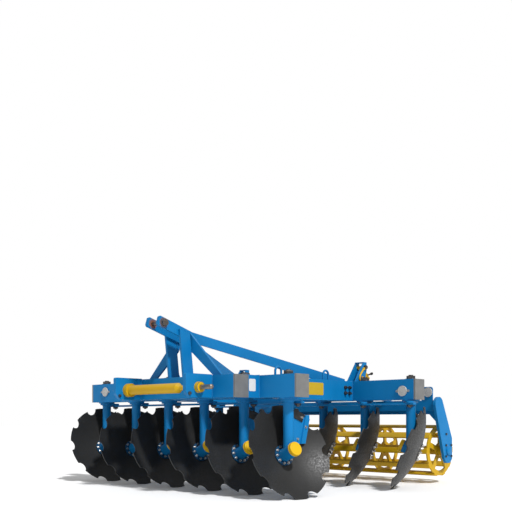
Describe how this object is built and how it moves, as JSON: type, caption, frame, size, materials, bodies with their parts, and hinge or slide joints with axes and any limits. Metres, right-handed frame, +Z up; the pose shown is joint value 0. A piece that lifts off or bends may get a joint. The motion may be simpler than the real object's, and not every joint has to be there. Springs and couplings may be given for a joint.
{
  "type": "mounted disc harrow",
  "caption": "Mounted disc harrow with two rows of notched discs on round posts under a blue box frame, a three-point headstock and a yellow cage roller behind.",
  "frame": {"origin": "the middle of the footprint, on the ground under the discs", "axes": "+X to the machine's left across the rows, +Y back from the hitch to the roller, +Z up"},
  "size_m": [2.2342, 2.085, 1.0509],
  "materials": {
    "frame_paint": "satin",
    "cap_grey": "satin",
    "yellow_paint": "satin",
    "disc_steel": "satin",
    "pin_steel": "satin"
  },
  "bodies": {
    "frame": {"hitch_beam": "frame_paint", "front_disc_beam": "frame_paint", "rear_disc_beam": "frame_paint", "beam_end_caps": "cap_grey", "side_rails": "frame_paint", "mast_uprights": "frame_paint", "mast_fork": "frame_paint", "mast_legs": "frame_paint", "rear_braces": "frame_paint", "top_link_pin": "pin_steel", "hitch_cheeks": "frame_paint", "lower_link_pins": "pin_steel", "hitch_tube": "yellow_paint", "screw_towers": "frame_paint", "lifting_eyes": "frame_paint"},
    "front_post_1": {"front_post_1": "frame_paint"},
    "front_disc_1": {"front_disc_1": "disc_steel"},
    "front_post_2": {"front_post_2": "frame_paint"},
    "front_disc_2": {"front_disc_2": "disc_steel"},
    "front_post_3": {"front_post_3": "frame_paint"},
    "front_disc_3": {"front_disc_3": "disc_steel"},
    "front_post_4": {"front_post_4": "frame_paint"},
    "front_disc_4": {"front_disc_4": "disc_steel"},
    "front_post_5": {"front_post_5": "frame_paint"},
    "front_disc_5": {"front_disc_5": "disc_steel"},
    "front_post_6": {"front_post_6": "frame_paint"},
    "front_disc_6": {"front_disc_6": "disc_steel"},
    "front_tie_bar": {"front_tie_bar": "frame_paint"},
    "rear_post_1": {"rear_post_1": "frame_paint"},
    "rear_disc_1": {"rear_disc_1": "disc_steel"},
    "rear_post_2": {"rear_post_2": "frame_paint"},
    "rear_disc_2": {"rear_disc_2": "disc_steel"},
    "rear_post_3": {"rear_post_3": "frame_paint"},
    "rear_disc_3": {"rear_disc_3": "disc_steel"},
    "rear_post_4": {"rear_post_4": "frame_paint"},
    "rear_disc_4": {"rear_disc_4": "disc_steel"},
    "rear_post_5": {"rear_post_5": "frame_paint"},
    "rear_disc_5": {"rear_disc_5": "disc_steel"},
    "rear_post_6": {"rear_post_6": "frame_paint"},
    "rear_disc_6": {"rear_disc_6": "disc_steel"},
    "rear_tie_bar": {"rear_tie_bar": "frame_paint"},
    "roller_frame": {"roller_frame": "frame_paint"},
    "cage_roller": {"cage_roller": "yellow_paint"},
    "depth_barrel_left": {"depth_barrel_left": "yellow_paint"},
    "depth_screw_left": {"depth_screw_left": "pin_steel"},
    "depth_barrel_right": {"depth_barrel_right": "yellow_paint"},
    "depth_screw_right": {"depth_screw_right": "pin_steel"}
  },
  "joints": [
    {"name": "front_row_angle", "type": "hinge", "parent": "frame", "child": "front_post_1", "pos_m": [-1.01207, -0.5875, 0.56753], "axis": [0, 0, 1], "range_deg": [-20, 5]},
    {"name": "front_post_2_angle", "type": "hinge", "parent": "frame", "child": "front_post_2", "pos_m": [-0.66207, -0.5875, 0.56753], "axis": [0, 0, 1], "range_deg": [-20, 5]},
    {"name": "front_post_3_angle", "type": "hinge", "parent": "frame", "child": "front_post_3", "pos_m": [-0.31207, -0.5875, 0.56753], "axis": [0, 0, 1], "range_deg": [-20, 5]},
    {"name": "front_post_4_angle", "type": "hinge", "parent": "frame", "child": "front_post_4", "pos_m": [0.03793, -0.5875, 0.56753], "axis": [0, 0, 1], "range_deg": [-20, 5]},
    {"name": "front_post_5_angle", "type": "hinge", "parent": "frame", "child": "front_post_5", "pos_m": [0.38793, -0.5875, 0.56753], "axis": [0, 0, 1], "range_deg": [-20, 5]},
    {"name": "front_post_6_angle", "type": "hinge", "parent": "frame", "child": "front_post_6", "pos_m": [0.73793, -0.5875, 0.56753], "axis": [0, 0, 1], "range_deg": [-20, 5]},
    {"name": "front_tie_bar_pin", "type": "hinge", "parent": "front_post_1", "child": "front_tie_bar", "pos_m": [-0.99992, -0.51856, 0.53493], "axis": [0, 0, 1], "range_deg": [-5, 20]},
    {"name": "front_disc_1_spin", "type": "hinge", "parent": "front_post_1", "child": "front_disc_1", "pos_m": [-1.01207, -0.5875, 0.25462], "axis": [0.9163, -0.1616, 0.3665], "continuous": true},
    {"name": "front_disc_2_spin", "type": "hinge", "parent": "front_post_2", "child": "front_disc_2", "pos_m": [-0.66207, -0.5875, 0.25462], "axis": [0.9163, -0.1616, 0.3665], "continuous": true},
    {"name": "front_disc_3_spin", "type": "hinge", "parent": "front_post_3", "child": "front_disc_3", "pos_m": [-0.31207, -0.5875, 0.25462], "axis": [0.9163, -0.1616, 0.3665], "continuous": true},
    {"name": "front_disc_4_spin", "type": "hinge", "parent": "front_post_4", "child": "front_disc_4", "pos_m": [0.03793, -0.5875, 0.25462], "axis": [0.9163, -0.1616, 0.3665], "continuous": true},
    {"name": "front_disc_5_spin", "type": "hinge", "parent": "front_post_5", "child": "front_disc_5", "pos_m": [0.38793, -0.5875, 0.25462], "axis": [0.9163, -0.1616, 0.3665], "continuous": true},
    {"name": "front_disc_6_spin", "type": "hinge", "parent": "front_post_6", "child": "front_disc_6", "pos_m": [0.73793, -0.5875, 0.25462], "axis": [0.9163, -0.1616, 0.3665], "continuous": true},
    {"name": "rear_row_angle", "type": "hinge", "parent": "frame", "child": "rear_post_1", "pos_m": [-0.77207, 0.3225, 0.56753], "axis": [0, 0, 1], "range_deg": [-21, 4]},
    {"name": "rear_post_2_angle", "type": "hinge", "parent": "frame", "child": "rear_post_2", "pos_m": [-0.42207, 0.3225, 0.56753], "axis": [0, 0, 1], "range_deg": [-21, 4]},
    {"name": "rear_post_3_angle", "type": "hinge", "parent": "frame", "child": "rear_post_3", "pos_m": [-0.07207, 0.3225, 0.56753], "axis": [0, 0, 1], "range_deg": [-21, 4]},
    {"name": "rear_post_4_angle", "type": "hinge", "parent": "frame", "child": "rear_post_4", "pos_m": [0.27793, 0.3225, 0.56753], "axis": [0, 0, 1], "range_deg": [-21, 4]},
    {"name": "rear_post_5_angle", "type": "hinge", "parent": "frame", "child": "rear_post_5", "pos_m": [0.62793, 0.3225, 0.56753], "axis": [0, 0, 1], "range_deg": [-21, 4]},
    {"name": "rear_post_6_angle", "type": "hinge", "parent": "frame", "child": "rear_post_6", "pos_m": [0.97793, 0.3225, 0.56753], "axis": [0, 0, 1], "range_deg": [-21, 4]},
    {"name": "rear_tie_bar_pin", "type": "hinge", "parent": "rear_post_1", "child": "rear_tie_bar", "pos_m": [-0.74138, 0.25958, 0.53493], "axis": [0, 0, 1], "range_deg": [-4, 21]},
    {"name": "rear_disc_1_spin", "type": "hinge", "parent": "rear_post_1", "child": "rear_disc_1", "pos_m": [-0.77207, 0.3225, 0.25462], "axis": [-0.8363, -0.4079, 0.3665], "continuous": true},
    {"name": "rear_disc_2_spin", "type": "hinge", "parent": "rear_post_2", "child": "rear_disc_2", "pos_m": [-0.42207, 0.3225, 0.25462], "axis": [-0.8363, -0.4079, 0.3665], "continuous": true},
    {"name": "rear_disc_3_spin", "type": "hinge", "parent": "rear_post_3", "child": "rear_disc_3", "pos_m": [-0.07207, 0.3225, 0.25462], "axis": [-0.8363, -0.4079, 0.3665], "continuous": true},
    {"name": "rear_disc_4_spin", "type": "hinge", "parent": "rear_post_4", "child": "rear_disc_4", "pos_m": [0.27793, 0.3225, 0.25462], "axis": [-0.8363, -0.4079, 0.3665], "continuous": true},
    {"name": "rear_disc_5_spin", "type": "hinge", "parent": "rear_post_5", "child": "rear_disc_5", "pos_m": [0.62793, 0.3225, 0.25462], "axis": [-0.8363, -0.4079, 0.3665], "continuous": true},
    {"name": "rear_disc_6_spin", "type": "hinge", "parent": "rear_post_6", "child": "rear_disc_6", "pos_m": [0.97793, 0.3225, 0.25462], "axis": [-0.8363, -0.4079, 0.3665], "continuous": true},
    {"name": "roller_depth", "type": "hinge", "parent": "frame", "child": "roller_frame", "pos_m": [0.04293, 0.4225, 0.63253], "axis": [1, 0, 0], "range_deg": [-5.5, 12]},
    {"name": "roller_spin", "type": "hinge", "parent": "roller_frame", "child": "cage_roller", "pos_m": [-0.01707, 0.8625, 0.22753], "axis": [1, 0, 0], "continuous": true},
    {"name": "depth_barrel_left_pivot", "type": "hinge", "parent": "frame", "child": "depth_barrel_left", "pos_m": [0.53793, 0.3995, 0.79753], "axis": [1, 0, 0], "range_deg": [-1, 2.2]},
    {"name": "depth_screw_left_slide", "type": "slide", "parent": "depth_barrel_left", "child": "depth_screw_left", "axis": [0, 0.7162, -0.6979], "range_m": [-0.0219, 0.0101]},
    {"name": "depth_barrel_right_pivot", "type": "hinge", "parent": "frame", "child": "depth_barrel_right", "pos_m": [-0.57207, 0.3995, 0.79753], "axis": [1, 0, 0], "range_deg": [-1, 2.2]},
    {"name": "depth_screw_right_slide", "type": "slide", "parent": "depth_barrel_right", "child": "depth_screw_right", "axis": [0, 0.7162, -0.6979], "range_m": [-0.0219, 0.0101]}
  ],
  "couplings": [
    {"joint": "front_post_2_angle", "follows": "front_row_angle", "ratio": 1},
    {"joint": "front_post_3_angle", "follows": "front_row_angle", "ratio": 1},
    {"joint": "front_post_4_angle", "follows": "front_row_angle", "ratio": 1},
    {"joint": "front_post_5_angle", "follows": "front_row_angle", "ratio": 1},
    {"joint": "front_post_6_angle", "follows": "front_row_angle", "ratio": 1},
    {"joint": "front_tie_bar_pin", "follows": "front_row_angle", "ratio": -1},
    {"joint": "rear_post_2_angle", "follows": "rear_row_angle", "ratio": 1},
    {"joint": "rear_post_3_angle", "follows": "rear_row_angle", "ratio": 1},
    {"joint": "rear_post_4_angle", "follows": "rear_row_angle", "ratio": 1},
    {"joint": "rear_post_5_angle", "follows": "rear_row_angle", "ratio": 1},
    {"joint": "rear_post_6_angle", "follows": "rear_row_angle", "ratio": 1},
    {"joint": "rear_tie_bar_pin", "follows": "rear_row_angle", "ratio": -1},
    {"joint": "depth_barrel_left_pivot", "follows": "roller_depth", "ratio": 0.18},
    {"joint": "depth_screw_left_slide", "follows": "roller_depth", "m_per_rad": -0.104},
    {"joint": "depth_barrel_right_pivot", "follows": "roller_depth", "ratio": 0.18},
    {"joint": "depth_screw_right_slide", "follows": "roller_depth", "m_per_rad": -0.104}
  ]
}
